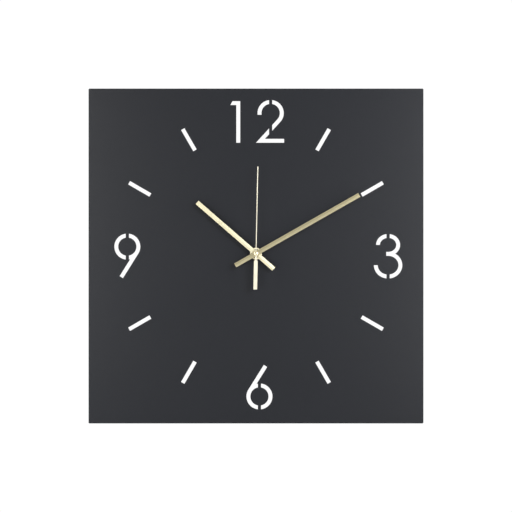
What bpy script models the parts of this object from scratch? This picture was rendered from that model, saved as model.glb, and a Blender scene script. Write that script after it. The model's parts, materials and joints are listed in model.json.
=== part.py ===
"""Square wall clock: a stencil-cut steel dial, brass baton hands and a geared quartz movement.

Metres, +Z up. The clock faces -Y on a wall at y = 0, and hangs from a nail at the origin.
Pieces are laid out on the empty wall_frame as a person sees the clock: x to the right, y up
from the hand shaft and z out of the wall. Each turning piece hangs on an empty on its own axis.
"""

import math

import bmesh
import bpy
from mathutils import Matrix

MM = 0.001
GAP = 0.3 * MM  # left between pieces that touch on the real clock
RUNNING_FIT = 0.3 * MM  # radial play between a shaft and what it turns in

# Dial plate and its stencil openings
PLATE_SIDE = 350 * MM
PLATE_THICK = 1.5 * MM
PLATE_CORNER = 1.2 * MM
SHAFT_RISE = 2.5 * MM  # height of the hand shaft above the middle of the dial
STROKE = 4.1 * MM
BRIDGE = 3.3 * MM  # sheet left standing across each bowl of a numeral
BAR_INNER = 127.5 * MM
BAR_OUTER = 153.2 * MM
BAR_WIDTH = 4.0 * MM
NUMERAL_FOOT = 118.4 * MM
ONE_TOP = 161.9 * MM
ONE_RIGHT = -16.5 * MM
ONE_FLAG = 6.2 * MM
ONE_SLANT = 2.3 * MM
TWO_X = 15.3 * MM
TWO_Y = 149.4 * MM
TWO_RADIUS = 13.7 * MM
TWO_TURN = math.radians(42.4)  # where the bowl runs straight into the diagonal
TWO_DROP = 1.8 * MM
TWO_LEFT = 0.0
TWO_RIGHT = 29.4 * MM
THREE_X = 138.1 * MM
THREE_WAIST = 2.25 * MM
THREE_ARM = 2.0 * MM
THREE_UPPER = (12.6 * MM, 11.4 * MM)  # half width and half height of a bowl
THREE_LOWER = (14.9 * MM, 13.9 * MM)
SIX_X = 3.6 * MM
SIX_Y = -146.8 * MM
NINE_X = -134.5 * MM
NINE_Y = 9.8 * MM
BOWL_RADIUS = 13.6 * MM
TAIL_REACH = (4.6 * MM, 33.0 * MM)  # outer corner of the 6's tail, from the middle of its bowl
ARC_STEP = math.radians(8)
COARSE_STEP = math.radians(18)  # on bends and domes a few millimetres across

# Movement case and battery
WALL_CLEARANCE = 1.0 * MM
CASE_SIDE = 56 * MM
CASE_DEPTH = 16 * MM
CASE_CORNER = 3 * MM
CASE_WALL = 1.2 * MM
REAR_CASE_DEPTH = 5 * MM
PARTITION = 1.0 * MM
BATTERY_RADIUS = 7.25 * MM
BATTERY_LENGTH = 50.5 * MM
BATTERY_NUB = 1.0 * MM
BATTERY_PLAY = 0.5 * MM
CONTACT_THICK = 0.3 * MM
CONTACT_WIDTH = 8 * MM

# Clamping stack on the shaft, from the case towards the dial and out through it
BUSH_RADIUS = 4.0 * MM
BUSH_FLANGE_RADIUS = 6.0 * MM
BUSH_FLANGE_THICK = 0.8 * MM
BUSH_BEYOND_NUT = 0.7 * MM
HANGER_THICK = 0.8 * MM
HANGER_WIDTH = 22 * MM
HANGER_RISE = 26 * MM  # how far the hanger tab stands above the case
HANGER_BEND = 2.0 * MM
HANGER_WALL_PLAY = 0.8 * MM
NAIL_HEAD = 8 * MM
NAIL_SHANK = 4 * MM
RUBBER_RADIUS = 10 * MM
RUBBER_THICK = 1.0 * MM
WASHER_RADIUS = 5.5 * MM
WASHER_THICK = 0.5 * MM
NUT_RADIUS = 5.6 * MM
NUT_THICK = 2.0 * MM

# Wall bumpers
BUMPER_RADIUS = 8 * MM
BUMPER_FOOT_RADIUS = 6.5 * MM
BUMPER_INSET = 22 * MM

# Hands: reach, tail and half width; the clock reads ten past ten
HOUR_REACH, HOUR_TAIL, HOUR_HALF = 81.4 * MM, 24.5 * MM, 2.3 * MM
MINUTE_REACH, MINUTE_TAIL, MINUTE_HALF = 123.8 * MM, 24.9 * MM, 2.3 * MM
SECOND_REACH, SECOND_TAIL, SECOND_HALF = 90.7 * MM, 37.4 * MM, 1.95 * MM
HOUR_ANGLE = math.radians(311.0)
MINUTE_ANGLE = math.radians(60.4)
SECOND_ANGLE = math.radians(1.2)
HOUR_HUB, MINUTE_HUB, SECOND_HUB = 6.2 * MM, 3.7 * MM, 2.6 * MM
HOUR_HUB_OPENING = 4.7 * MM  # radius of the open middle of the hour hand's ring
HAND_EDGE = 0.35 * MM
HAND_RIDGE = 0.4 * MM  # rise of the crease along the middle of a baton
HAND_STEP = 1.25 * MM  # free height between one hand and the next
COLLET_WALL = 0.4 * MM
COLLET_LIP = 0.3 * MM
NEEDLE_TIP = 0.48 * MM
NEEDLE_ROOT = 0.42 * MM
NECK_HALF = 0.95 * MM
SHOULDER = 7.6 * MM
CAP_RADIUS = 2.3 * MM
CAP_RISE = 1.1 * MM

# Shafts and tubes on the hand axis
ARBOR_RADIUS = 0.45 * MM
MINUTE_TUBE_RADIUS = 1.5 * MM
HOUR_TUBE_RADIUS = 2.5 * MM
TUBE_WALL = 0.65 * MM

# Wheels: teeth, and the module that sets the centre distance
WHEEL_THICK = 0.8 * MM
PINION_DEPTH = 1.6 * MM
LAYER = 0.3 * MM  # free height between two wheels
ADDENDUM = 0.8
DEDENDUM = 1.2
TIP_SHARE = 0.09  # half of a tooth's width, as a share of the pitch
ROOT_SHARE = 0.22
SECONDS_TEETH, SECONDS_PINION = 50, 8
THIRD_TEETH, THIRD_PINION = 60, 8
CENTRE_TEETH = 64
CANNON_PINION = 12
MINUTE_TEETH, MINUTE_PINION = 36, 10
HOUR_TEETH = 40
STEP_TEETH, STEP_PINION = 48, 10
ROTOR_PINION = 8
KNOB_TEETH = 16
TRAIN_MODULE = 0.25 * MM  # seconds pinion and third wheel
STEP_MODULE = 1.2 * TRAIN_MODULE  # rotor, step wheel and seconds wheel
MOTION_MODULE = 0.333 * MM  # cannon pinion, minute wheel and setting knob
THIRD_DIRECTION = math.radians(150)
MINUTE_WHEEL_DIRECTION = math.radians(180)
KNOB_DIRECTION = math.radians(200)
STEP_DIRECTION = math.radians(20)
ROTOR_DIRECTION = math.radians(45)
MAGNET_RADIUS = 3.0 * MM
MAGNET_DEPTH = 2.5 * MM
KNOB_RADIUS = 5.0 * MM
KNOB_DEPTH = 2.4 * MM
KNOB_SHAFT = 1.0 * MM
POST_RADIUS = 1.0 * MM
STAKE_RADIUS = 0.5 * MM

# Stepper motor and circuit
STATOR_THICK = 0.8 * MM
STATOR_RIM = 2.0 * MM
ROTOR_AIR = 0.5 * MM
COIL_LENGTH = 20 * MM
COIL_RADIUS = 4.2 * MM
BOBBIN_TUBE = 2.4 * MM
BOBBIN_FLANGE = 1.0 * MM
CORE_WIDTH = 3.0 * MM
LEG_WIDTH = 4.5 * MM
BOARD_WIDTH = 6.6 * MM
BOARD_LENGTH = 31 * MM
BOARD_THICK = 0.8 * MM
CRYSTAL_RADIUS = 1.0 * MM
CRYSTAL_LENGTH = 6.0 * MM
CHIP_RADIUS = 2.4 * MM
CHIP_RISE = 0.9 * MM

# Heights above the wall, worked out from the sizes above
CASE_BACK = WALL_CLEARANCE
CASE_FRONT = CASE_BACK + CASE_DEPTH
CASE_SPLIT = CASE_BACK + REAR_CASE_DEPTH
CAVITY_BACK = CASE_BACK + CASE_WALL
CAVITY_FRONT = CASE_FRONT - CASE_WALL
HANGER_BACK = CASE_FRONT + GAP
RUBBER_BACK = HANGER_BACK + HANGER_THICK + GAP
PLATE_BACK = RUBBER_BACK + RUBBER_THICK + GAP
PLATE_FRONT = PLATE_BACK + PLATE_THICK
WASHER_BACK = PLATE_FRONT + GAP
NUT_BACK = WASHER_BACK + WASHER_THICK + GAP
NUT_FRONT = NUT_BACK + NUT_THICK
BUSH_FRONT = NUT_FRONT + BUSH_BEYOND_NUT
HAND_RISE = HAND_EDGE + HAND_RIDGE
HOUR_LEVEL = BUSH_FRONT + HAND_STEP
MINUTE_LEVEL = HOUR_LEVEL + HAND_RISE + HAND_STEP
SECOND_LEVEL = MINUTE_LEVEL + HAND_RISE + HAND_STEP

# Wheel heights, from the back of the movement to the front
STEP_WHEEL_BACK = CAVITY_BACK + 2 * MM
STEP_PINION_BACK = STEP_WHEEL_BACK + WHEEL_THICK + LAYER
SECONDS_BACK = STEP_PINION_BACK + PINION_DEPTH / 2 - WHEEL_THICK / 2
SECONDS_PINION_BACK = SECONDS_BACK + WHEEL_THICK + LAYER
THIRD_BACK = SECONDS_PINION_BACK + PINION_DEPTH / 2 - WHEEL_THICK / 2
THIRD_PINION_BACK = THIRD_BACK + WHEEL_THICK + LAYER
CENTRE_BACK = THIRD_PINION_BACK + PINION_DEPTH / 2 - WHEEL_THICK / 2
MIDDLE_PLATE_BACK = THIRD_PINION_BACK + PINION_DEPTH + LAYER
CANNON_PINION_BACK = MIDDLE_PLATE_BACK + WHEEL_THICK + LAYER
MINUTE_WHEEL_BACK = CANNON_PINION_BACK + PINION_DEPTH / 2 - WHEEL_THICK / 2
MINUTE_PINION_BACK = MINUTE_WHEEL_BACK + WHEEL_THICK + LAYER
HOUR_WHEEL_BACK = CANNON_PINION_BACK + PINION_DEPTH + LAYER
MAGNET_BACK = STEP_PINION_BACK + 2 * LAYER
STATOR_BACK = THIRD_BACK - GAP - STATOR_THICK
CORE_BACK = STATOR_BACK + STATOR_THICK + GAP

# Places on the face, worked out from the sizes above
HALF_CASE = CASE_SIDE / 2
HALF_CAVITY = HALF_CASE - CASE_WALL
BATTERY_Y = -(HALF_CAVITY - BATTERY_PLAY - BATTERY_RADIUS)
BATTERY_Z = CAVITY_FRONT - GAP - BATTERY_RADIUS
PARTITION_LOW = BATTERY_Y + BATTERY_RADIUS + BATTERY_PLAY
PARTITION_HIGH = PARTITION_LOW + PARTITION
COIL_Y = HALF_CAVITY - 2 * GAP - COIL_RADIUS - BATTERY_PLAY
COIL_X = -2 * MM
COIL_Z = CORE_BACK + STATOR_THICK / 2
BOARD_X = -HALF_CAVITY + 2 * GAP + BOARD_WIDTH / 2
BOARD_Y = 8 * MM
BOARD_BACK = CAVITY_FRONT - GAP - BOARD_THICK
BUMPER_PLACE = PLATE_SIDE / 2 - BUMPER_INSET
NAIL_SEAT = HALF_CASE + HANGER_RISE - NAIL_HEAD


# Scene, materials and placing


def clear_scene():
    for old in list(bpy.data.objects):
        bpy.data.objects.remove(old)


def new_collection(name):
    collection = bpy.data.collections.new(name)
    bpy.context.scene.collection.children.link(collection)
    return collection


def surface(name, colour, roughness, metallic=0.0):
    material = bpy.data.materials.new(name)
    material.use_nodes = True
    shader = material.node_tree.nodes["Principled BSDF"]
    shader.inputs["Base Color"].default_value = (*colour, 1.0)
    shader.inputs["Roughness"].default_value = roughness
    shader.inputs["Metallic"].default_value = metallic
    return material


def empty(name, x, y, parent):
    axis = bpy.data.objects.new(name, None)
    PARTS.objects.link(axis)
    axis.parent = parent
    axis.location = (x, y, 0)
    return axis


def place(mesh, name, material, parent):
    """A part from a mesh that is already in its parent's coordinates."""
    mesh.name = name
    mesh.materials.clear()
    mesh.materials.append(material)
    part = bpy.data.objects.new(name, mesh)
    PARTS.objects.link(part)
    part.parent = parent
    return part


def helper(mesh, name, parent):
    """A hidden shape that a Boolean adds to a part or cuts from it."""
    shape = bpy.data.objects.new(name, mesh)
    CUTTERS.objects.link(shape)
    shape.parent = parent
    shape.hide_render = True
    shape.display_type = "WIRE"
    return shape


def combine(part, mesh, operation):
    shape = helper(mesh, f"{part.name}_{operation.lower()}", part.parent)
    boolean = part.modifiers.new(operation.title(), "BOOLEAN")
    boolean.operation = operation
    boolean.object = shape


# Shapes


def finished(mesh):
    """Welds a mesh, turns its faces outwards and shades its round stretches smooth."""
    shell = bmesh.new()
    shell.from_mesh(mesh)
    bmesh.ops.remove_doubles(shell, verts=shell.verts, dist=GAP / 1000)
    bmesh.ops.recalc_face_normals(shell, faces=shell.faces)
    shell.to_mesh(mesh)
    shell.free()
    mesh.shade_smooth()
    mesh.set_sharp_from_angle(angle=math.radians(35))
    return mesh


def flat(outlines, low, high):
    """A flat piece between two heights: the first outline is its rim, the rest are openings.

    The curve is filled in millimetres, because the fill drops features far below one unit.
    """
    curve = bpy.data.curves.new("outline", "CURVE")
    curve.dimensions = "2D"
    curve.fill_mode = "BOTH"
    curve.extrude = (high - low) / 2 / MM
    for outline in outlines:
        spline = curve.splines.new("POLY")
        spline.points.add(len(outline) - 1)
        for point, (x, y) in zip(spline.points, outline):
            point.co = (x / MM, y / MM, 0, 1)
        spline.use_cyclic_u = True
    guide = bpy.data.objects.new("outline", curve)
    CUTTERS.objects.link(guide)
    graph = bpy.context.evaluated_depsgraph_get()
    mesh = bpy.data.meshes.new_from_object(guide.evaluated_get(graph))
    bpy.data.objects.remove(guide)
    bpy.data.curves.remove(curve)
    mesh.transform(Matrix.Translation((0, 0, (low + high) / 2)) @ Matrix.Scale(MM, 4))
    return finished(mesh)


def turned(profile, steps=32):
    """A body of revolution about z. A profile that ends off the axis closes into a ring."""
    rim = bmesh.new()
    points = [rim.verts.new((radius, 0, height)) for radius, height in profile]
    for first, second in zip(points, points[1:]):
        rim.edges.new((first, second))
    if profile[-1][0] > 0:
        rim.edges.new((points[-1], points[0]))
    bmesh.ops.spin(
        rim,
        geom=rim.verts[:] + rim.edges[:],
        axis=(0, 0, 1),
        cent=(0, 0, 0),
        angle=2 * math.pi,
        steps=steps,
        use_merge=True,
    )
    mesh = bpy.data.meshes.new("turned")
    rim.to_mesh(mesh)
    rim.free()
    return finished(mesh)


def rod(radius, low, high, steps=16):
    return turned([(0, high), (radius, high), (radius, low), (0, low)], steps)


def tube(outer, inner, low, high, steps=32):
    return turned([(outer, high), (outer, low), (inner, low), (inner, high)], steps)


def block(low_corner, high_corner):
    cube = bmesh.new()
    bmesh.ops.create_cube(cube, size=1)
    size = [high - low for low, high in zip(low_corner, high_corner)]
    middle = [(high + low) / 2 for low, high in zip(low_corner, high_corner)]
    bmesh.ops.transform(
        cube,
        matrix=Matrix.Translation(middle) @ Matrix.Diagonal((*size, 1)),
        verts=cube.verts,
    )
    mesh = bpy.data.meshes.new("block")
    cube.to_mesh(mesh)
    cube.free()
    return finished(mesh)


def strip(path, width):
    """The middle surface of a sheet bent along a path of (y, z) points, as wide as width along x."""
    fold = bmesh.new()
    edge = [fold.verts.new((-width / 2, y, z)) for y, z in path]
    far_edge = [fold.verts.new((width / 2, y, z)) for y, z in path]
    for index in range(len(path) - 1):
        fold.faces.new((edge[index], edge[index + 1], far_edge[index + 1], far_edge[index]))
    mesh = bpy.data.meshes.new("strip")
    fold.to_mesh(mesh)
    fold.free()
    return finished(mesh)


# Outlines, as lists of (x, y)


def arc(x, y, radii, start, end, step=ARC_STEP):
    """Points on an ellipse from one angle to another, both ends included."""
    steps = max(1, math.ceil(abs(end - start) / step))
    angles = [start + (end - start) * index / steps for index in range(steps + 1)]
    return [(x + radii[0] * math.cos(a), y + radii[1] * math.sin(a)) for a in angles]


def circle(x, y, radius, steps=32):
    angles = [2 * math.pi * index / steps for index in range(steps)]
    return [(x + radius * math.cos(a), y + radius * math.sin(a)) for a in angles]


def rounded_square(side, corner, y=0.0):
    reach = side / 2 - corner
    outline = []
    for quarter, (sx, sy) in enumerate(((1, 1), (-1, 1), (-1, -1), (1, -1))):
        start = quarter * math.pi / 2
        middle = (sx * reach, y + sy * reach)
        outline += arc(*middle, (corner, corner), start, start + math.pi / 2, COARSE_STEP)
    return outline


def rectangle(left, low, right, high):
    return [(left, low), (right, low), (right, high), (left, high)]


def spun(outline, angle, about=(0.0, 0.0)):
    """An outline turned anticlockwise about a point."""
    c, s = math.cos(angle), math.sin(angle)
    moved = [(x - about[0], y - about[1]) for x, y in outline]
    return [(about[0] + x * c - y * s, about[1] + x * s + y * c) for x, y in moved]


def hour_bars():
    bar = rectangle(-BAR_WIDTH / 2, BAR_INNER, BAR_WIDTH / 2, BAR_OUTER)
    hours = [hour for hour in range(12) if hour % 3]
    return [spun(bar, -math.radians(30 * hour)) for hour in hours]


def numeral_one():
    left = ONE_RIGHT - STROKE
    under_flag = ONE_TOP - STROKE
    tip = left - ONE_FLAG
    return [
        [
            (tip + ONE_SLANT, ONE_TOP),
            (ONE_RIGHT, ONE_TOP),
            (ONE_RIGHT, NUMERAL_FOOT),
            (left, NUMERAL_FOOT),
            (left, under_flag),
            (tip, under_flag),
        ]
    ]


def bridge_angle(radius):
    """Where the right-hand edge of a bridge meets a bowl, measured from +x."""
    return math.acos(BRIDGE / 2 / radius)


def numeral_two():
    """A bowl that runs along its tangent into the diagonal, and a foot."""
    outer, inner = TWO_RADIUS, TWO_RADIUS - STROKE
    slope = math.cos(TWO_TURN) / math.sin(TWO_TURN)

    def start_of_diagonal(radius):
        return TWO_X + radius * math.cos(TWO_TURN), TWO_Y - radius * math.sin(TWO_TURN)

    def height_at(radius, x):
        start_x, start_y = start_of_diagonal(radius)
        return start_y - (start_x - x) * slope

    def ring(radius, start, end):
        return arc(TWO_X, TWO_Y, (radius, radius), start, end)

    right_cut, left_cut = TWO_X + BRIDGE / 2, TWO_X - BRIDGE / 2
    left_bowl = ring(outer, math.pi + math.asin(TWO_DROP / outer), math.pi - bridge_angle(outer))
    left_bowl += ring(inner, math.pi - bridge_angle(inner), math.pi + math.asin(TWO_DROP / inner))
    right_bowl = ring(outer, bridge_angle(outer), -TWO_TURN)
    right_bowl += [(right_cut, height_at(outer, right_cut)), (right_cut, height_at(inner, right_cut))]
    right_bowl += ring(inner, -TWO_TURN, bridge_angle(inner))
    foot_top = NUMERAL_FOOT + STROKE
    start_x, start_y = start_of_diagonal(outer)
    foot = [
        (left_cut, height_at(inner, left_cut)),
        (TWO_LEFT, height_at(inner, TWO_LEFT)),
        (TWO_LEFT, NUMERAL_FOOT),
        (TWO_RIGHT, NUMERAL_FOOT),
        (TWO_RIGHT, foot_top),
        (start_x - (start_y - foot_top) / slope, foot_top),
        (left_cut, height_at(outer, left_cut)),
    ]
    return [left_bowl, right_bowl, foot]


def waist_height(upper_y, lower_y):
    """Height at which the outer rims of the 3's two bowls cross."""
    upper = (THREE_UPPER[0] / THREE_UPPER[1]) ** 2
    lower = (THREE_LOWER[0] / THREE_LOWER[1]) ** 2
    a = lower - upper
    b = 2 * (upper * upper_y - lower * lower_y)
    c = THREE_UPPER[0] ** 2 - THREE_LOWER[0] ** 2 - upper * upper_y**2 + lower * lower_y**2
    spread = math.sqrt(b * b - 4 * a * c)
    roots = ((-b + spread) / (2 * a), (-b - spread) / (2 * a))
    return min(roots, key=lambda height: abs(height - THREE_WAIST))


def numeral_three():
    """Two elliptical bowls that share one stroke at the waist."""
    upper_y = THREE_WAIST - STROKE / 2 + THREE_UPPER[1]
    lower_y = THREE_WAIST + STROKE / 2 - THREE_LOWER[1]
    upper_inner = tuple(radius - STROKE for radius in THREE_UPPER)
    lower_inner = tuple(radius - STROKE for radius in THREE_LOWER)

    def cut(radii):
        return bridge_angle(radii[0])

    def upper(radii, start, end):
        return arc(THREE_X, upper_y, radii, start, end)

    def lower(radii, start, end):
        return arc(THREE_X, lower_y, radii, start, end)

    upper_left = upper(THREE_UPPER, math.pi, math.pi - cut(THREE_UPPER))
    upper_left += upper(upper_inner, math.pi - cut(upper_inner), math.pi)
    lower_left = lower(THREE_LOWER, math.pi, math.pi + cut(THREE_LOWER))
    lower_left += lower(lower_inner, math.pi + cut(lower_inner), math.pi)
    notch = waist_height(upper_y, lower_y)
    right = upper(THREE_UPPER, cut(THREE_UPPER), math.asin((notch - upper_y) / THREE_UPPER[1]))
    right += lower(THREE_LOWER, math.asin((notch - lower_y) / THREE_LOWER[1]), -cut(THREE_LOWER))[1:]
    right += lower(lower_inner, -cut(lower_inner), math.pi / 2)
    right += rectangle(
        THREE_X - THREE_ARM, THREE_WAIST - STROKE / 2, THREE_X - THREE_ARM, THREE_WAIST + STROKE / 2
    )[1:3]
    right += upper(upper_inner, -math.pi / 2, cut(upper_inner))
    return [upper_left, lower_left, right]


def bowl_with_tail(x, y):
    """The 6: a round bowl whose left side runs along its tangent into a straight tail."""
    outer, inner = BOWL_RADIUS, BOWL_RADIUS - STROKE
    reach = math.hypot(*TAIL_REACH)
    tangent = math.atan2(TAIL_REACH[1], TAIL_REACH[0]) + math.acos(outer / reach)
    along = (math.sin(tangent), -math.cos(tangent))
    across = (along[1], -along[0])
    end = (TAIL_REACH[0] + across[0] * STROKE, TAIL_REACH[1] + across[1] * STROKE)
    run = end[0] * along[0] + end[1] * along[1]
    offset = outer - STROKE
    crotch = math.sqrt(outer**2 - offset**2)
    join = (end[0] - (run - crotch) * along[0], end[1] - (run - crotch) * along[1])
    join_angle = math.atan2(join[1], join[0])

    def ring(radius, start, finish):
        return arc(x, y, (radius, radius), start, finish)

    right = ring(outer, bridge_angle(outer), -bridge_angle(outer))
    right += ring(inner, -bridge_angle(inner), bridge_angle(inner))
    left = [(x + TAIL_REACH[0], y + TAIL_REACH[1])]
    left += ring(outer, tangent, math.pi + bridge_angle(outer))
    left += ring(inner, math.pi + bridge_angle(inner), math.pi - bridge_angle(inner))
    left += ring(outer, math.pi - bridge_angle(outer), join_angle)
    left += [(x + end[0], y + end[1])]
    return [right, left]


def gear(teeth, module, phase, bore=0.0):
    """A toothed rim with a tooth at angle phase, and a round hole if bore is given."""
    pitch = 2 * math.pi / teeth
    root = module * (teeth / 2 - DEDENDUM)
    tip = tip_radius(teeth, module)
    corners = ((root, -ROOT_SHARE), (tip, -TIP_SHARE), (tip, TIP_SHARE), (root, ROOT_SHARE))
    rim = []
    for tooth in range(teeth):
        for radius, share in corners:
            angle = phase + (tooth + share) * pitch
            rim.append((radius * math.cos(angle), radius * math.sin(angle)))
    return [rim, circle(0, 0, bore)] if bore else [rim]


def tip_radius(teeth, module):
    return module * (teeth / 2 + ADDENDUM)


def facing(phase, teeth, partner_teeth, direction):
    """Phase that meshes a partner, seen in the given direction, with a gear at phase."""
    passed = (phase - direction) * teeth / (2 * math.pi)
    return direction + math.pi + (0.5 - passed) * 2 * math.pi / partner_teeth


def distance(teeth, partner_teeth, module):
    return module * (teeth + partner_teeth) / 2


def stepped(start, direction, length):
    return start[0] + length * math.cos(direction), start[1] + length * math.sin(direction)


# Sub-parts


def dial_plate():
    openings = hour_bars() + numeral_one() + numeral_two() + numeral_three()
    openings += bowl_with_tail(SIX_X, SIX_Y)
    openings += [spun(half, math.pi, (NINE_X, NINE_Y)) for half in bowl_with_tail(NINE_X, NINE_Y)]
    lowered = [[(x, y - SHAFT_RISE) for x, y in opening] for opening in openings]
    rim = rounded_square(PLATE_SIDE, PLATE_CORNER, -SHAFT_RISE)
    shaft_hole = circle(0, 0, BUSH_RADIUS + RUNNING_FIT)
    mesh = flat([rim, shaft_hole] + lowered, PLATE_BACK, PLATE_FRONT)
    place(mesh, "dial_plate", POWDER_COAT, FRAME)


def wall_bumpers():
    top = PLATE_BACK - GAP
    profile = [
        (0, top),
        (BUMPER_RADIUS, top),
        (BUMPER_RADIUS, top / 2),
        (BUMPER_FOOT_RADIUS, GAP),
        (BUMPER_FOOT_RADIUS - GAP, 0),
        (0, 0),
    ]
    mesh = turned(profile, 24)
    for row, vertical in (("top", 1), ("bottom", -1)):
        for side, across in (("left", -1), ("right", 1)):
            bumper = place(mesh, f"wall_bumper_{row}_{side}", RUBBER, FRAME)
            bumper.location = (across * BUMPER_PLACE, vertical * BUMPER_PLACE - SHAFT_RISE, 0)


def wall_hanger():
    """Sheet strap on the bush that rises behind the dial and bends back to a keyhole tab."""
    front = HANGER_BACK + HANGER_THICK / 2
    back = HANGER_WALL_PLAY + HANGER_THICK / 2
    step = HALF_CASE + HANGER_BEND + GAP + HANGER_THICK
    tip = HALF_CASE + HANGER_RISE
    bend = (HANGER_BEND, HANGER_BEND)
    path = [(-HANGER_WIDTH / 2, front)]
    path += arc(step - HANGER_BEND, front - HANGER_BEND, bend, math.pi / 2, 0, COARSE_STEP)
    path += arc(step + HANGER_BEND, back + HANGER_BEND, bend, math.pi, 1.5 * math.pi, COARSE_STEP)
    path += [(tip, back)]
    hanger = place(strip(path, HANGER_WIDTH), "wall_hanger", ZINC_STEEL, FRAME)
    sheet = hanger.modifiers.new("Sheet", "SOLIDIFY")
    sheet.thickness = HANGER_THICK
    sheet.offset = 0
    bush_hole = rod(BUSH_RADIUS + RUNNING_FIT, front - HANGER_THICK, front + HANGER_THICK, 32)
    combine(hanger, bush_hole, "DIFFERENCE")
    combine(hanger, flat([keyhole()], 0, 2 * back), "DIFFERENCE")


def keyhole():
    """A round hole that lets a nail head through, with a slot above it that the nail seats in."""
    entry = NAIL_SEAT - NAIL_HEAD
    meet = math.acos(NAIL_SHANK / NAIL_HEAD)
    shank = (NAIL_SHANK / 2, NAIL_SHANK / 2)
    head = (NAIL_HEAD / 2, NAIL_HEAD / 2)
    outline = arc(0, NAIL_SEAT, shank, 0, math.pi, COARSE_STEP)
    return outline + arc(0, entry, head, math.pi - meet, 2 * math.pi + meet, COARSE_STEP)


def cavity_cutters(low, high, battery_low, battery_high):
    """The hollow over the wheels and the one for the battery, either side of the partition."""
    wheels = block((-HALF_CAVITY, PARTITION_HIGH, low), (HALF_CAVITY, HALF_CAVITY, high))
    battery = block(
        (-HALF_CAVITY, -HALF_CAVITY, battery_low), (HALF_CAVITY, PARTITION_LOW, battery_high)
    )
    return [wheels, battery]


def movement_case():
    outline = [rounded_square(CASE_SIDE, CASE_CORNER)]
    front = place(flat(outline, CASE_SPLIT, CASE_FRONT), "movement_front_case", BLACK_PLASTIC, FRAME)
    behind = CASE_BACK - GAP
    for cutter in cavity_cutters(behind, CAVITY_FRONT, behind, CAVITY_FRONT):
        combine(front, cutter, "DIFFERENCE")
    bush_hole = rod(BUSH_RADIUS + RUNNING_FIT, CAVITY_FRONT - GAP, CASE_FRONT + GAP, 32)
    combine(front, bush_hole, "DIFFERENCE")
    lid = flat(outline, CASE_BACK, CASE_SPLIT - GAP)
    rear = place(lid, "movement_rear_case", BLACK_PLASTIC, FRAME)
    for cutter in cavity_cutters(CAVITY_BACK, CASE_SPLIT, behind, CASE_SPLIT):
        combine(rear, cutter, "DIFFERENCE")
    knob_hole = rod(KNOB_RADIUS + 2 * RUNNING_FIT, behind, CAVITY_BACK + GAP, 32)
    knob_hole.transform(Matrix.Translation((*KNOB_PLACE, 0)))
    combine(rear, knob_hole, "DIFFERENCE")
    plate_front = MIDDLE_PLATE_BACK + WHEEL_THICK
    for place_on_plate in stake_places():
        add_post(front, place_on_plate, POST_RADIUS, plate_front + GAP, CAVITY_FRONT + GAP)
        add_post(front, place_on_plate, STAKE_RADIUS, MIDDLE_PLATE_BACK - GAP, plate_front + 2 * GAP)
    stator_left = COIL_X - COIL_LENGTH / 2 - LEG_WIDTH / 2
    stator_right = ROTOR_PLACE[0] + MAGNET_RADIUS + ROTOR_AIR
    for x in (stator_left, stator_right):
        add_post(rear, (x, COIL_Y - LEG_WIDTH / 2), POST_RADIUS, CAVITY_BACK - GAP, STATOR_BACK - GAP)


def add_post(case, centre, radius, low, high):
    post = rod(radius, low, high, 12)
    post.transform(Matrix.Translation((*centre, 0)))
    combine(case, post, "UNION")


def middle_plate_edges():
    """Left, low, right and high edges of the middle plate."""
    left = MINUTE_WHEEL_PLACE[0] - ARBOR_RADIUS - 2 * CASE_WALL
    right = STEP_PLACE[0] + ARBOR_RADIUS + 2 * CASE_WALL
    wheel_top = tip_radius(MINUTE_TEETH, MOTION_MODULE)
    high = wheel_top + 2 * (POST_RADIUS + GAP)
    return left, PARTITION_HIGH + GAP, right, high


def stake_places():
    """Where the case's posts pass through the corners of the middle plate."""
    left, low, right, high = middle_plate_edges()
    inset = POST_RADIUS + GAP
    return [(x, y) for x in (left + inset, right - inset) for y in (low + inset, high - inset)]


def middle_plate():
    """Plate between the going train and the motion work, staked on posts of the front case."""
    rim = rectangle(*middle_plate_edges())
    holes = [circle(0, 0, MINUTE_TUBE_RADIUS + RUNNING_FIT)]
    for pivot in (THIRD_PLACE, STEP_PLACE):
        holes.append(circle(*pivot, ARBOR_RADIUS + RUNNING_FIT, 16))
    for stake in stake_places():
        holes.append(circle(*stake, STAKE_RADIUS + RUNNING_FIT, 12))
    mesh = flat([rim] + holes, MIDDLE_PLATE_BACK, MIDDLE_PLATE_BACK + WHEEL_THICK)
    place(mesh, "movement_middle_plate", WHITE_PLASTIC, FRAME)


def clamping_stack():
    """Bush, washers and nut that clamp the movement and the hanger to the dial."""
    bore = HOUR_TUBE_RADIUS + RUNNING_FIT
    flange_front = CAVITY_FRONT - GAP
    profile = [
        (BUSH_RADIUS - GAP, BUSH_FRONT),
        (BUSH_RADIUS, BUSH_FRONT - GAP),
        (BUSH_RADIUS, flange_front),
        (BUSH_FLANGE_RADIUS, flange_front),
        (BUSH_FLANGE_RADIUS, flange_front - BUSH_FLANGE_THICK),
        (bore, flange_front - BUSH_FLANGE_THICK),
        (bore, BUSH_FRONT),
    ]
    place(turned(profile), "threaded_bush", BLACK_PLASTIC, FRAME)
    hole = BUSH_RADIUS + RUNNING_FIT
    rubber = tube(RUBBER_RADIUS, hole, RUBBER_BACK, RUBBER_BACK + RUBBER_THICK)
    place(rubber, "rubber_washer", RUBBER, FRAME)
    washer = tube(WASHER_RADIUS, hole, WASHER_BACK, WASHER_BACK + WASHER_THICK)
    place(washer, "dial_washer", BLACK_PLASTIC, FRAME)
    place(tube(NUT_RADIUS, hole, NUT_BACK, NUT_FRONT), "bush_nut", BLACK_PLASTIC, FRAME)


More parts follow.
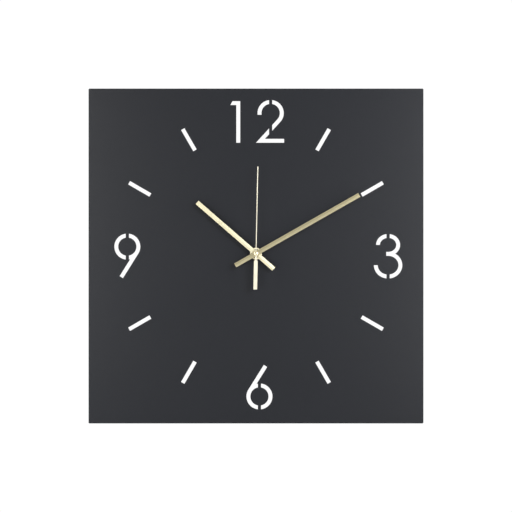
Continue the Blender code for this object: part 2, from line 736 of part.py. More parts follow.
def baton(reach, tail, half_width, level):
    """A straight hand blade with a crease along its middle, pointing up."""
    blade = bmesh.new()
    bmesh.ops.create_cube(blade, size=1)
    length = reach + tail
    middle = (0, (reach - tail) / 2, level + HAND_EDGE / 2)
    size = Matrix.Diagonal((2 * half_width, length, HAND_EDGE, 1))
    bmesh.ops.transform(blade, matrix=Matrix.Translation(middle) @ size, verts=blade.verts)
    bmesh.ops.bisect_plane(
        blade, geom=blade.verts[:] + blade.edges[:] + blade.faces[:], plane_co=(0, 0, 0), plane_no=(1, 0, 0)
    )
    for vertex in blade.verts:
        if abs(vertex.co.x) < GAP and vertex.co.z > level + HAND_EDGE / 2:
            vertex.co.z += HAND_RIDGE
    mesh = bpy.data.meshes.new("baton")
    blade.to_mesh(mesh)
    blade.free()
    return finished(mesh)


def baton_hand(name, size, hub, hub_opening, level, shaft, angle, axis):
    """A creased blade of (reach, tail, half width) on a hub ring, and the collet on its tube."""
    blade = place(baton(*size, level), f"{name}_blade", SATIN_BRASS, axis)
    collet_radius = shaft + RUNNING_FIT + COLLET_WALL
    hub_front = level + HAND_EDGE + HAND_RIDGE / 2
    hole = rod(collet_radius + RUNNING_FIT, level - GAP, level + HAND_RISE + GAP, 32)
    combine(blade, tube(hub, hub_opening, level, hub_front, 40), "UNION")
    combine(blade, hole, "DIFFERENCE")
    blade.rotation_euler.z = -angle
    low, high = level - 2 * GAP - COLLET_LIP, level + HAND_RISE + GAP
    collet = tube(collet_radius, shaft + RUNNING_FIT, low, high)
    place(collet, f"{name}_collet", BRASS, axis)


def second_hand():
    """A needle with a wide counterweight on a narrow neck, and its capped pipe."""
    needle = [(-NEEDLE_TIP, SECOND_REACH), (-NEEDLE_ROOT, 0), (-NECK_HALF, -SECOND_HUB)]
    counterweight = [
        (-NECK_HALF, -SHOULDER + NECK_HALF),
        (-SECOND_HALF, -SHOULDER),
        (-SECOND_HALF, -SECOND_TAIL),
    ]
    left = needle + counterweight
    right = [(-x, y) for x, y in reversed(left)]
    blade_mesh = flat([left + right], SECOND_LEVEL, SECOND_LEVEL + HAND_EDGE)
    blade = place(blade_mesh, "second_hand_blade", SATIN_BRASS, SECONDS_AXIS)
    pipe = ARBOR_RADIUS + RUNNING_FIT + COLLET_WALL / 2
    top = SECOND_LEVEL + HAND_EDGE
    combine(blade, rod(SECOND_HUB, SECOND_LEVEL, top, 32), "UNION")
    combine(blade, rod(pipe + RUNNING_FIT, SECOND_LEVEL - GAP, top + GAP), "DIFFERENCE")
    blade.rotation_euler.z = -SECOND_ANGLE
    seat = top + GAP
    bore = ARBOR_RADIUS + RUNNING_FIT
    dome = arc(0, seat + GAP, (CAP_RADIUS, CAP_RISE), math.pi / 2, 0, COARSE_STEP)
    profile = [(0, seat + GAP + CAP_RISE)] + dome[1:]
    profile += [
        (CAP_RADIUS, seat),
        (pipe, seat),
        (pipe, SECOND_LEVEL - 2 * GAP),
        (bore, SECOND_LEVEL - 2 * GAP),
        (bore, seat + GAP),
        (0, seat + GAP),
    ]
    place(turned(profile, 24), "second_hand_cap", BRASS, SECONDS_AXIS)


def toothed_arbor(name, toothings, arbor, material, axis):
    """Gears of (teeth, module, phase, back, depth) joined on one arbor of (radius, low, high)."""
    shapes = []
    for teeth, module, phase, back, depth in toothings:
        shapes.append(flat(gear(teeth, module, phase), back, back + depth))
    part = place(shapes[0], name, material, axis)
    for shape in shapes[1:]:
        combine(part, shape, "UNION")
    combine(part, rod(*arbor), "UNION")
    return part


def going_train():
    """Rotor, step wheel, seconds wheel, third wheel and centre wheel."""
    pivot_back = CAVITY_BACK + GAP
    pivot_front = MIDDLE_PLATE_BACK + WHEEL_THICK / 2
    seconds_phase = 0.0
    step_pinion_phase = facing(seconds_phase, SECONDS_TEETH, STEP_PINION, STEP_DIRECTION)
    rotor_phase = facing(0, STEP_TEETH, ROTOR_PINION, ROTOR_DIRECTION)
    third_phase = facing(0, SECONDS_PINION, THIRD_TEETH, THIRD_DIRECTION)
    centre_phase = facing(0, THIRD_PINION, CENTRE_TEETH, THIRD_DIRECTION + math.pi)
    toothed_arbor(
        "seconds_wheel",
        [
            (SECONDS_TEETH, STEP_MODULE, seconds_phase, SECONDS_BACK, WHEEL_THICK),
            (SECONDS_PINION, TRAIN_MODULE, 0, SECONDS_PINION_BACK, PINION_DEPTH),
        ],
        (ARBOR_RADIUS, pivot_back, SECOND_LEVEL + HAND_EDGE),
        WHITE_PLASTIC,
        SECONDS_AXIS,
    )
    toothed_arbor(
        "step_wheel",
        [
            (STEP_TEETH, STEP_MODULE, 0, STEP_WHEEL_BACK, WHEEL_THICK),
            (STEP_PINION, STEP_MODULE, step_pinion_phase, STEP_PINION_BACK, PINION_DEPTH),
        ],
        (ARBOR_RADIUS, pivot_back, pivot_front),
        WHITE_PLASTIC,
        STEP_AXIS,
    )
    toothed_arbor(
        "third_wheel",
        [
            (THIRD_TEETH, TRAIN_MODULE, third_phase, THIRD_BACK, WHEEL_THICK),
            (THIRD_PINION, CENTRE_MODULE, 0, THIRD_PINION_BACK, PINION_DEPTH),
        ],
        (ARBOR_RADIUS, pivot_back, pivot_front),
        WHITE_PLASTIC,
        THIRD_AXIS,
    )
    hub_bore = MINUTE_TUBE_RADIUS + GAP
    wheel = flat(
        gear(CENTRE_TEETH, CENTRE_MODULE, centre_phase, hub_bore), CENTRE_BACK, CENTRE_BACK + WHEEL_THICK
    )
    place(wheel, "centre_wheel", BRASS, CENTRE_AXIS)
    pinion_back = STEP_WHEEL_BACK + WHEEL_THICK / 2 - PINION_DEPTH / 2
    rotor = toothed_arbor(
        "motor_rotor",
        [(ROTOR_PINION, STEP_MODULE, rotor_phase, pinion_back, PINION_DEPTH)],
        (ARBOR_RADIUS, pivot_back, MAGNET_BACK + MAGNET_DEPTH + GAP),
        DARK_MAGNET,
        ROTOR_AXIS,
    )
    combine(rotor, rod(MAGNET_RADIUS, MAGNET_BACK, MAGNET_BACK + MAGNET_DEPTH, 24), "UNION")


def tube_wheel(name, teeth, module, phase, back, depth, outer, low, high, material, axis):
    """A gear on a tube that turns on the shaft inside it."""
    inner = outer - TUBE_WALL
    part = place(tube(outer, inner, low, high), name, material, axis)
    combine(part, flat(gear(teeth, module, phase, (outer + inner) / 2), back, back + depth), "UNION")


def motion_work():
    """Cannon pinion, minute wheel, hour wheel and the hand-setting knob."""
    minute_phase = facing(0, CANNON_PINION, MINUTE_TEETH, MINUTE_WHEEL_DIRECTION)
    hour_phase = facing(0, MINUTE_PINION, HOUR_TEETH, MINUTE_WHEEL_DIRECTION + math.pi)
    knob_phase = facing(minute_phase, MINUTE_TEETH, KNOB_TEETH, KNOB_DIRECTION)
    tube_wheel(
        "cannon_pinion",
        CANNON_PINION,
        MOTION_MODULE,
        0,
        CANNON_PINION_BACK,
        PINION_DEPTH,
        MINUTE_TUBE_RADIUS,
        CENTRE_BACK - GAP,
        MINUTE_LEVEL + HAND_RISE + GAP,
        BRASS,
        MINUTE_AXIS,
    )
    tube_wheel(
        "hour_wheel",
        HOUR_TEETH,
        HOUR_MODULE,
        hour_phase,
        HOUR_WHEEL_BACK,
        WHEEL_THICK,
        HOUR_TUBE_RADIUS,
        HOUR_WHEEL_BACK,
        HOUR_LEVEL + HAND_RISE + GAP,
        WHITE_PLASTIC,
        HOUR_AXIS,
    )
    toothed_arbor(
        "minute_wheel",
        [
            (MINUTE_TEETH, MOTION_MODULE, minute_phase, MINUTE_WHEEL_BACK, WHEEL_THICK),
            (MINUTE_PINION, HOUR_MODULE, 0, MINUTE_PINION_BACK, PINION_DEPTH),
        ],
        (ARBOR_RADIUS, MIDDLE_PLATE_BACK + WHEEL_THICK + GAP, CAVITY_FRONT - GAP),
        WHITE_PLASTIC,
        MINUTE_WHEEL_AXIS,
    )
    knob_back = CASE_BACK + GAP
    knob = toothed_arbor(
        "setting_knob",
        [(KNOB_TEETH, MOTION_MODULE, knob_phase, MINUTE_WHEEL_BACK, WHEEL_THICK)],
        (KNOB_SHAFT, knob_back + KNOB_DEPTH / 2, CAVITY_FRONT - GAP),
        WHITE_PLASTIC,
        KNOB_AXIS,
    )
    grip = flat(gear(KNOB_TEETH, 2 * KNOB_RADIUS / (KNOB_TEETH + 2), 0), knob_back, knob_back + KNOB_DEPTH)
    combine(knob, grip, "UNION")


def stepper_motor():
    """Stator, core, bobbin and winding of the stepping motor."""
    rotor_x, rotor_y = ROTOR_PLACE
    hole = MAGNET_RADIUS + ROTOR_AIR
    rim = hole + STATOR_RIM
    left, right = COIL_X - COIL_LENGTH / 2 - LEG_WIDTH, rotor_x + rim
    top = COIL_Y + CORE_WIDTH / 2
    arm_low, arm_high = rotor_y + LEG_WIDTH / 2, rotor_y + LEG_WIDTH * 1.4
    outline = [(left, top), (left, arm_low), (rotor_x - rim, arm_low)]
    outline += arc(rotor_x, rotor_y, (rim, rim), math.pi, 2 * math.pi)
    outline += [
        (right, top),
        (right - LEG_WIDTH, top),
        (right - LEG_WIDTH, arm_high),
        (left + LEG_WIDTH, arm_high),
        (left + LEG_WIDTH, top),
    ]
    rotor_hole = circle(rotor_x, rotor_y, hole)
    stator = flat([outline, rotor_hole], STATOR_BACK, STATOR_BACK + STATOR_THICK)
    place(stator, "motor_stator", BARE_STEEL, FRAME)
    core = flat(
        [rectangle(left, COIL_Y - CORE_WIDTH / 2, right, top)], CORE_BACK, CORE_BACK + STATOR_THICK
    )
    place(core, "coil_core", BARE_STEEL, FRAME)
    half = COIL_LENGTH / 2
    bore = math.hypot(CORE_WIDTH, STATOR_THICK) / 2 + RUNNING_FIT / 2
    bobbin_profile = [
        (COIL_RADIUS, half),
        (COIL_RADIUS, half - BOBBIN_FLANGE),
        (BOBBIN_TUBE, half - BOBBIN_FLANGE),
        (BOBBIN_TUBE, BOBBIN_FLANGE - half),
        (COIL_RADIUS, BOBBIN_FLANGE - half),
        (COIL_RADIUS, -half),
        (bore, -half),
        (bore, half),
    ]
    wound = half - BOBBIN_FLANGE - GAP
    winding = tube(COIL_RADIUS - GAP, BOBBIN_TUBE + GAP, -wound, wound, 24)
    for mesh, name, material in (
        (turned(bobbin_profile, 24), "coil_bobbin", WHITE_PLASTIC),
        (winding, "coil_winding", COPPER),
    ):
        piece = place(mesh, name, material, FRAME)
        piece.location = (COIL_X, COIL_Y, COIL_Z)
        piece.rotation_euler.y = math.pi / 2


def circuit():
    """Circuit board with its chip and its crystal, on the left of the movement."""
    front = BOARD_BACK + BOARD_THICK
    left, right = BOARD_X - BOARD_WIDTH / 2, BOARD_X + BOARD_WIDTH / 2
    low, high = BOARD_Y - BOARD_LENGTH / 2, BOARD_Y + BOARD_LENGTH / 2
    place(block((left, low, BOARD_BACK), (right, high, front)), "circuit_board", GREEN_BOARD, FRAME)
    base = BOARD_BACK - GAP
    dome = arc(0, base, (CHIP_RADIUS, CHIP_RISE), 0, -math.pi / 2, COARSE_STEP)
    chip = place(turned([(0, base)] + dome, 16), "circuit_chip", BLACK_PLASTIC, FRAME)
    chip.location = (BOARD_X, BOARD_Y - BOARD_LENGTH / 5, 0)
    half = CRYSTAL_LENGTH / 2
    crystal = place(rod(CRYSTAL_RADIUS, -half, half), "quartz_crystal", BARE_STEEL, FRAME)
    crystal.location = (BOARD_X, BOARD_Y + BOARD_LENGTH / 4, base - CRYSTAL_RADIUS)
    crystal.rotation_euler.x = math.pi / 2


def battery():
    """AA cell in its open compartment, with the contact strips at its two ends."""
    half = BATTERY_LENGTH / 2
    shoulder = half - BATTERY_NUB
    chamfer = 2 * GAP
    profile = [
        (0, half),
        (BATTERY_RADIUS / 3, half),
        (BATTERY_RADIUS / 3, shoulder),
        (BATTERY_RADIUS - chamfer, shoulder),
        (BATTERY_RADIUS, shoulder - chamfer),
        (BATTERY_RADIUS, chamfer - half),
        (BATTERY_RADIUS - chamfer, -half),
        (0, -half),
    ]
    cell = place(turned(profile), "battery_cell", CELL_JACKET, FRAME)
    cell.location = (0, BATTERY_Y, BATTERY_Z)
    cell.rotation_euler.y = math.pi / 2
    for name, side in (("battery_contact_plus", 1), ("battery_contact_minus", -1)):
        inside = side * (HALF_CAVITY - GAP)
        outside = inside - side * CONTACT_THICK
        low = (min(inside, outside), BATTERY_Y - CONTACT_WIDTH / 2, CASE_SPLIT)
        high = (max(inside, outside), BATTERY_Y + CONTACT_WIDTH / 2, CAVITY_FRONT - GAP)
        place(block(low, high), name, BARE_STEEL, FRAME)


clear_scene()
PARTS = new_collection("wall_clock")
CUTTERS = new_collection("cutters")
CUTTERS.hide_render = True

POWDER_COAT = surface("powder_coat", (0.036, 0.037, 0.041), 0.6)
SATIN_BRASS = surface("satin_brass", (0.83, 0.72, 0.45), 0.35, 1.0)
BRASS = surface("brass", (0.78, 0.62, 0.32), 0.3, 1.0)
ZINC_STEEL = surface("zinc_steel", (0.55, 0.56, 0.58), 0.4, 1.0)
BARE_STEEL = surface("bare_steel", (0.6, 0.6, 0.6), 0.35, 1.0)
DARK_MAGNET = surface("dark_magnet", (0.08, 0.08, 0.09), 0.5, 0.5)
COPPER = surface("copper_wire", (0.7, 0.28, 0.12), 0.35, 1.0)
BLACK_PLASTIC = surface("black_plastic", (0.02, 0.02, 0.02), 0.5)
WHITE_PLASTIC = surface("white_plastic", (0.8, 0.8, 0.76), 0.45)
RUBBER = surface("black_rubber", (0.025, 0.025, 0.025), 0.85)
GREEN_BOARD = surface("green_board", (0.03, 0.2, 0.08), 0.5)
CELL_JACKET = surface("cell_jacket", (0.05, 0.14, 0.4), 0.35)

CENTRE_DISTANCE = distance(SECONDS_PINION, THIRD_TEETH, TRAIN_MODULE)
CENTRE_MODULE = 2 * CENTRE_DISTANCE / (THIRD_PINION + CENTRE_TEETH)
MOTION_DISTANCE = distance(CANNON_PINION, MINUTE_TEETH, MOTION_MODULE)
HOUR_MODULE = 2 * MOTION_DISTANCE / (MINUTE_PINION + HOUR_TEETH)
THIRD_PLACE = stepped((0, 0), THIRD_DIRECTION, CENTRE_DISTANCE)
MINUTE_WHEEL_PLACE = stepped((0, 0), MINUTE_WHEEL_DIRECTION, MOTION_DISTANCE)
KNOB_PLACE = stepped(MINUTE_WHEEL_PLACE, KNOB_DIRECTION, distance(MINUTE_TEETH, KNOB_TEETH, MOTION_MODULE))
STEP_PLACE = stepped((0, 0), STEP_DIRECTION, distance(SECONDS_TEETH, STEP_PINION, STEP_MODULE))
ROTOR_PLACE = stepped(STEP_PLACE, ROTOR_DIRECTION, distance(STEP_TEETH, ROTOR_PINION, STEP_MODULE))

FRAME = empty("wall_frame", 0, 0, None)
FRAME.rotation_euler.x = math.pi / 2
FRAME.location.z = -NAIL_SEAT
HOUR_AXIS = empty("hour_axis", 0, 0, FRAME)
MINUTE_AXIS = empty("minute_axis", 0, 0, FRAME)
SECONDS_AXIS = empty("seconds_axis", 0, 0, FRAME)
CENTRE_AXIS = empty("centre_axis", 0, 0, FRAME)
THIRD_AXIS = empty("third_axis", *THIRD_PLACE, FRAME)
STEP_AXIS = empty("step_axis", *STEP_PLACE, FRAME)
ROTOR_AXIS = empty("rotor_axis", *ROTOR_PLACE, FRAME)
MINUTE_WHEEL_AXIS = empty("minute_wheel_axis", *MINUTE_WHEEL_PLACE, FRAME)
KNOB_AXIS = empty("knob_axis", *KNOB_PLACE, FRAME)

dial_plate()
wall_bumpers()
wall_hanger()
movement_case()
middle_plate()
clamping_stack()
baton_hand(
    "hour_hand",
    (HOUR_REACH, HOUR_TAIL, HOUR_HALF),
    HOUR_HUB,
    HOUR_HUB_OPENING,
    HOUR_LEVEL,
    HOUR_TUBE_RADIUS,
    HOUR_ANGLE,
    HOUR_AXIS,
)
baton_hand(
    "minute_hand",
    (MINUTE_REACH, MINUTE_TAIL, MINUTE_HALF),
    MINUTE_HUB,
    MINUTE_TUBE_RADIUS,
    MINUTE_LEVEL,
    MINUTE_TUBE_RADIUS,
    MINUTE_ANGLE,
    MINUTE_AXIS,
)
second_hand()
going_train()
motion_work()
stepper_motor()
circuit()
battery()
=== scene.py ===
"""Looks of the square wall clock: a stencil-cut, powder-coated dial with satin brass hands.

The pieces seen from outside are finely bevelled copies of their CAD nodes, so they keep the CAD's
size and place. Those inside the case keep their CAD meshes and only take new finishes. The clock
hangs in plain air over a pale floor, lit by soft boxes as in a product studio.
"""

import json
import math

import bmesh
import bpy
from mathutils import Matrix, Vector

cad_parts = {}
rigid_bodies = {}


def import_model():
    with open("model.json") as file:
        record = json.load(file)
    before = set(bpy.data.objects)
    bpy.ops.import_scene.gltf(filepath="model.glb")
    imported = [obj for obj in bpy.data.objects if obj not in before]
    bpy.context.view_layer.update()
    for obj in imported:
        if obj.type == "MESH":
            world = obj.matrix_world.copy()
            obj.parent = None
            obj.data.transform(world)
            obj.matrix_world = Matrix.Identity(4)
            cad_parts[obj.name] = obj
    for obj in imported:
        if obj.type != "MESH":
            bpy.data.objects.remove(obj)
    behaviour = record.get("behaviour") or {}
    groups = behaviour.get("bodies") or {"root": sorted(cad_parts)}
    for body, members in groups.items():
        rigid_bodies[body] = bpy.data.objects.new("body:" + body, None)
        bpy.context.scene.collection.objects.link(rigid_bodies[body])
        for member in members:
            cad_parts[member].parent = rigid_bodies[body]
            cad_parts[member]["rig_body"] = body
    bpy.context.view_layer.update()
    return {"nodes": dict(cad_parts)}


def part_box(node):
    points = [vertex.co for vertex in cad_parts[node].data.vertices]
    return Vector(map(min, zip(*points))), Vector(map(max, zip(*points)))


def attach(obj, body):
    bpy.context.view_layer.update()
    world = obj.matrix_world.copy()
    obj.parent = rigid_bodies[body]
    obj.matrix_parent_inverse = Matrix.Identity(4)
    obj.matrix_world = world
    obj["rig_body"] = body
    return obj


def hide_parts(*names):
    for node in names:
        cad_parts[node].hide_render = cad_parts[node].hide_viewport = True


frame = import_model()


def middle_of(node):
    low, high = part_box(node)
    return (low + high) / 2


MM = 0.001
PLATE_MIDDLE = middle_of("dial_plate")
PLATE_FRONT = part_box("dial_plate")[0].y
SHAFT = middle_of("bush_nut")

# Camera and room
FRAME_WIDTH = 0.5351  # how much the camera takes in, side to side, at the face of the dial
CAMERA_DISTANCE = 2.4
SENSOR = 36.0
FLOOR_DROP = 0.62
FLOOR_SIDE = 2.6
BACKDROP_LEVEL = 1.02
ROOM_LEVEL = 0.42
ROOM_EDGE, BACKDROP_EDGE = -0.35, 0.25  # the world's light climbs between these, from front to back
WHITE = (1.0, 1.0, 1.0)
DAYLIGHT = (0.88, 0.97, 1.25)  # the side boxes are cooler than the room

# Meshes
WELD = 0.001 * MM
FLAT = math.radians(0.5)  # faces that meet flatter than this are one face
FACETED = math.radians(35)  # a sharper edge is a real edge, a flatter one belongs to a curve
CREASED = math.radians(15)  # the same for the hands, whose crease is shallower than that

# Finishes
BRASS = (0.90, 0.79, 0.47)
PAINTED_SHADE_BRASS = (0.71, 0.635, 0.44)  # the same brass as the other hands, painted darker as shade that tones down the highlight the second hand catches, and paler to stand in for a whiter highlight
NOISE_LOW, NOISE_HIGH = 0.3, 0.7  # noise seldom leaves this range
MIX_DARK, MIX_LIGHT, MIX_RESULT = 6, 7, 2  # the colour sockets of a Mix node


# Camera, floor and lights


def camera():
    view = bpy.data.cameras.new("camera")
    view.sensor_width = SENSOR
    view.lens = SENSOR * CAMERA_DISTANCE / FRAME_WIDTH
    eye = bpy.data.objects.new("camera", view)
    bpy.context.scene.collection.objects.link(eye)
    eye.location = (PLATE_MIDDLE.x, PLATE_FRONT - CAMERA_DISTANCE, PLATE_MIDDLE.z)
    eye.rotation_euler = (math.pi / 2, 0, 0)
    bpy.context.scene.camera = eye


def soft_box(name, place, width, height, power, colour=WHITE):
    """An area light aimed at the middle of the dial, given its place relative to it."""
    light = bpy.data.lights.new(name, "AREA")
    light.shape = "RECTANGLE"
    light.size = width
    light.size_y = height
    light.energy = power
    light.color = colour
    lamp = bpy.data.objects.new(name, light)
    bpy.context.scene.collection.objects.link(lamp)
    lamp.location = PLATE_MIDDLE + Vector(place)
    lamp.rotation_euler = (-Vector(place)).to_track_quat("-Z", "Y").to_euler()
    lamp.visible_camera = False


def floor():
    edge = FLOOR_SIDE / 2
    sheet = bmesh.new()
    corners = ((-edge, -edge), (edge, -edge), (edge, edge), (-edge, edge))
    sheet.faces.new([sheet.verts.new((x, y, 0)) for x, y in corners])
    mesh = bpy.data.meshes.new("floor")
    sheet.to_mesh(mesh)
    sheet.free()
    mesh.materials.append(floor_paint())
    ground = bpy.data.objects.new("floor", mesh)
    bpy.context.scene.collection.objects.link(ground)
    ground.location.z = PLATE_MIDDLE.z - FLOOR_DROP


def surroundings():
    """A bright backdrop behind the clock that falls to a dimmer room in front of it."""
    world = bpy.data.worlds.new("studio")
    world.use_nodes = True
    bpy.context.scene.world = world
    tree = world.node_tree
    direction = tree.nodes.new("ShaderNodeTexCoord")
    parts = tree.nodes.new("ShaderNodeSeparateXYZ")
    fall = tree.nodes.new("ShaderNodeMapRange")
    fall.interpolation_type = "SMOOTHSTEP"
    fall.inputs["From Min"].default_value = ROOM_EDGE
    fall.inputs["From Max"].default_value = BACKDROP_EDGE
    fall.inputs["To Min"].default_value = ROOM_LEVEL
    fall.inputs["To Max"].default_value = BACKDROP_LEVEL
    tree.links.new(direction.outputs["Generated"], parts.inputs["Vector"])
    tree.links.new(parts.outputs["Y"], fall.inputs["Value"])
    tree.links.new(fall.outputs["Result"], tree.nodes["Background"].inputs["Strength"])
    tree.nodes["Background"].inputs["Color"].default_value = (*WHITE, 1.0)
    bpy.context.scene.view_settings.view_transform = "Standard"


def studio_lights():
    """Large soft boxes to the sides for the hands, and two near strips that lift the dial's edges."""
    soft_box("right_box", (0.9, -1.1, 0.5), 0.7, 0.9, 17.0, DAYLIGHT)
    soft_box("left_box", (-0.9, -1.1, -0.22), 0.6, 0.7, 7.0, DAYLIGHT)
    soft_box("right_strip", (0.27, -0.1, 0.02), 0.06, 0.4, 0.73)
    soft_box("left_strip", (-0.27, -0.1, 0.03), 0.06, 0.4, 0.7)


# Material building blocks


class Paint:
    """A Principled material under construction, with short ways to add procedural detail.

    settings are the shader's own sockets, with _ for each space in a socket's name.
    """

    def __init__(self, name, colour, **settings):
        self.material = bpy.data.materials.new(name)
        self.material.use_nodes = True
        self.tree = self.material.node_tree
        self.shader = self.tree.nodes["Principled BSDF"]
        self.shader.inputs["Base Color"].default_value = (*colour, 1.0)
        for socket, value in settings.items():
            self.shader.inputs[socket.replace("_", " ")].default_value = value
        self.colour = colour
        self.bumps = None

    def node(self, kind, links=(), **values):
        """A new node: values set its sockets or its own properties, and links feed its inputs."""
        made = self.tree.nodes.new(kind)
        for socket, value in values.items():
            if socket in made.inputs:
                made.inputs[socket].default_value = value
            else:
                setattr(made, socket, value)
        for socket, source in links:
            self.tree.links.new(source, made.inputs[socket])
        return made

    def position(self, stretch=(1.0, 1.0, 1.0), origin=(0.0, 0.0, 0.0), turn=(0.0, 0.0, 0.0)):
        """Object coordinates in metres, measured from origin, turned back and then stretched."""
        coordinates = self.node("ShaderNodeTexCoord").outputs["Object"]
        moved = self.node("ShaderNodeMapping", [("Vector", coordinates)], vector_type="TEXTURE")
        moved.inputs["Location"].default_value = origin
        moved.inputs["Rotation"].default_value = turn
        scaled = self.node(
            "ShaderNodeMapping", [("Vector", moved.outputs["Vector"])], vector_type="POINT"
        )
        scaled.inputs["Scale"].default_value = stretch
        return scaled.outputs["Vector"]

    def noise(self, size, where=None, detail=3.0):
        """Soft noise whose blotches are about size metres across."""
        vector = where or self.position()
        made = self.node("ShaderNodeTexNoise", [("Vector", vector)], Scale=1 / size, Detail=detail)
        return made.outputs["Fac"]

    def between(self, factor, low, high):
        """The usual range of a noise, carried to low to high."""
        return self.mapped(factor, (NOISE_LOW, NOISE_HIGH), (low, high))

    def mapped(self, value, source, target):
        made = self.node("ShaderNodeMapRange", [("Value", value)])
        for socket, level in zip(("From Min", "From Max", "To Min", "To Max"), source + target):
            made.inputs[socket].default_value = level
        return made.outputs["Result"]

    def tint(self, factor, light, dark):
        """The base colour moves between two shares of itself with factor."""
        mix = self.node("ShaderNodeMix", [("Factor", factor)], data_type="RGBA")
        mix.inputs[MIX_DARK].default_value = (*(c * dark for c in self.colour), 1.0)
        mix.inputs[MIX_LIGHT].default_value = (*(c * light for c in self.colour), 1.0)
        self.tree.links.new(mix.outputs[MIX_RESULT], self.shader.inputs["Base Color"])

    def rough(self, factor, low, high):
        self.tree.links.new(self.between(factor, low, high), self.shader.inputs["Roughness"])

    def relief(self, height, depth, strength=1.0):
        """Adds bumps of the given depth in metres on top of any made before."""
        links = [("Height", height)]
        if self.bumps:
            links.append(("Normal", self.bumps))
        bump = self.node("ShaderNodeBump", links, Distance=depth, Strength=strength)
        self.bumps = bump.outputs["Normal"]
        self.tree.links.new(self.bumps, self.shader.inputs["Normal"])

    def bands(self, share, socket, first, later):
        """Sharp bands of colour along share: the first, then each later one from its own start."""
        ramp = self.node("ShaderNodeValToRGB", [("Fac", share)])
        ramp.color_ramp.interpolation = "CONSTANT"
        stops = ramp.color_ramp.elements
        stops.remove(stops[-1])
        stops[0].color = (*first, 1.0)
        for start, colour in later:
            stops.new(start).color = (*colour, 1.0)
        self.tree.links.new(ramp.outputs["Color"], self.shader.inputs[socket])


# Materials


def floor_paint():
    paint = Paint("floor", (0.86, 0.86, 0.86), Roughness=0.7)
    paint.tint(paint.noise(0.08), 1.02, 0.98)
    return paint.material


def powder_coat():
    """Matte charcoal powder coat: a fine orange peel, a little glossier in broad clouds."""
    paint = Paint("powder_coat", (0.0122, 0.0122, 0.0120), Specular_IOR_Level=0.165)
    peel = paint.noise(0.7 * MM, detail=4.0)
    cloud = paint.noise(45 * MM, detail=2.0)
    paint.tint(paint.between(peel, 0.0, 1.0), 1.12, 0.88)
    paint.rough(cloud, 0.54, 0.64)
    paint.relief(peel, 0.06 * MM, 0.6)
    return paint.material


def satin_brass(name, colour, angle):
    """Brass brushed along a hand that points at angle, clockwise from the top."""
    paint = Paint(name, colour, Metallic=1.0, Anisotropic=0.92)
    along = paint.position((1.0, 1.0, 0.02), tuple(SHAFT), (0.0, angle, 0.0))
    grain = paint.noise(0.12 * MM, along, 2.0)
    patches = paint.noise(9 * MM)
    paint.tint(paint.between(grain, 0.0, 1.0), 1.06, 0.94)
    paint.rough(patches, 0.38, 0.48)
    paint.relief(grain, 0.004 * MM, 0.5)
    across = paint.node("ShaderNodeCombineXYZ", X=math.cos(angle), Z=-math.sin(angle))
    turned = paint.node("ShaderNodeVectorTransform", [("Vector", across.outputs["Vector"])])
    turned.convert_from = "OBJECT"
    turned.convert_to = "WORLD"
    paint.tree.links.new(turned.outputs["Vector"], paint.shader.inputs["Tangent"])
    return paint.material


def turned_brass():
    """Lathe-turned brass, with fine rings round the hand shaft."""
    paint = Paint("turned_brass", (0.88, 0.76, 0.46), Roughness=0.36, Metallic=1.0)
    where = paint.position(origin=tuple(SHAFT))
    flat = paint.node("ShaderNodeVectorMath", [(0, where)], operation="MULTIPLY")
    flat.inputs[1].default_value = (1.0, 0.0, 1.0)
    radius = paint.node("ShaderNodeVectorMath", [(0, flat.outputs[0])], operation="LENGTH")
    rings = paint.node("ShaderNodeTexNoise", noise_dimensions="1D", Scale=1 / (0.12 * MM))
    paint.tree.links.new(radius.outputs["Value"], rings.inputs["W"])
    paint.relief(rings.outputs["Fac"], 0.006 * MM, 0.4)
    paint.tint(paint.noise(1.5 * MM), 1.05, 0.92)
    return paint.material


def plain_material(name, colour, roughness, metallic, grain, depth):
    """A surface whose grain shows in its colour, its roughness and its relief."""
    paint = Paint(name, colour, Metallic=metallic)
    fine = paint.noise(grain, detail=4.0)
    coarse = paint.noise(grain * 25, detail=2.0)
    paint.tint(paint.between(coarse, 0.0, 1.0), 1.08, 0.9)
    paint.rough(coarse, roughness * 0.88, roughness * 1.14)
    paint.relief(fine, depth, 0.6)
    return paint.material


def zinc_plate():
    """Zinc-plated sheet: drawn lines along the strip and cloudy spangle."""
    paint = Paint("zinc_plate", (0.60, 0.61, 0.63), Metallic=1.0)
    lines = paint.noise(0.25 * MM, paint.position((1.0, 1.0, 0.04)), 2.0)
    clouds = paint.noise(6 * MM)
    paint.tint(paint.between(clouds, 0.0, 1.0), 1.1, 0.82)
    paint.rough(clouds, 0.28, 0.44)
    paint.relief(lines, 0.01 * MM, 0.5)
    return paint.material


def wound_copper():
    """Enamelled wire laid side by side round the coil."""
    paint = Paint("wound_copper", (0.72, 0.27, 0.10), Roughness=0.3, Metallic=1.0, Coat_Weight=0.5)
    where = paint.position()
    wave = paint.node("ShaderNodeTexWave", [("Vector", where)], Scale=1 / (0.6 * MM))
    wave.bands_direction = "X"
    paint.relief(wave.outputs["Fac"], 0.05 * MM)
    paint.tint(paint.noise(1.2 * MM), 1.1, 0.8)
    return paint.material


def circuit_green():
    """Solder resist over a maze of tracks, which stand a little proud and paler."""
    paint = Paint("circuit_green", (0.02, 0.17, 0.07), Roughness=0.35, Coat_Weight=0.4)
    where = paint.position()
    tracks = paint.node("ShaderNodeTexVoronoi", [("Vector", where)], Scale=1 / (2.2 * MM))
    tracks.distance = "MANHATTAN"
    edge = paint.node("ShaderNodeMath", [(0, tracks.outputs["Distance"])], operation="GREATER_THAN")
    edge.inputs[1].default_value = 0.45
    paint.tint(edge.outputs[0], 1.9, 1.0)
    paint.relief(edge.outputs[0], 0.04 * MM)
    return paint.material


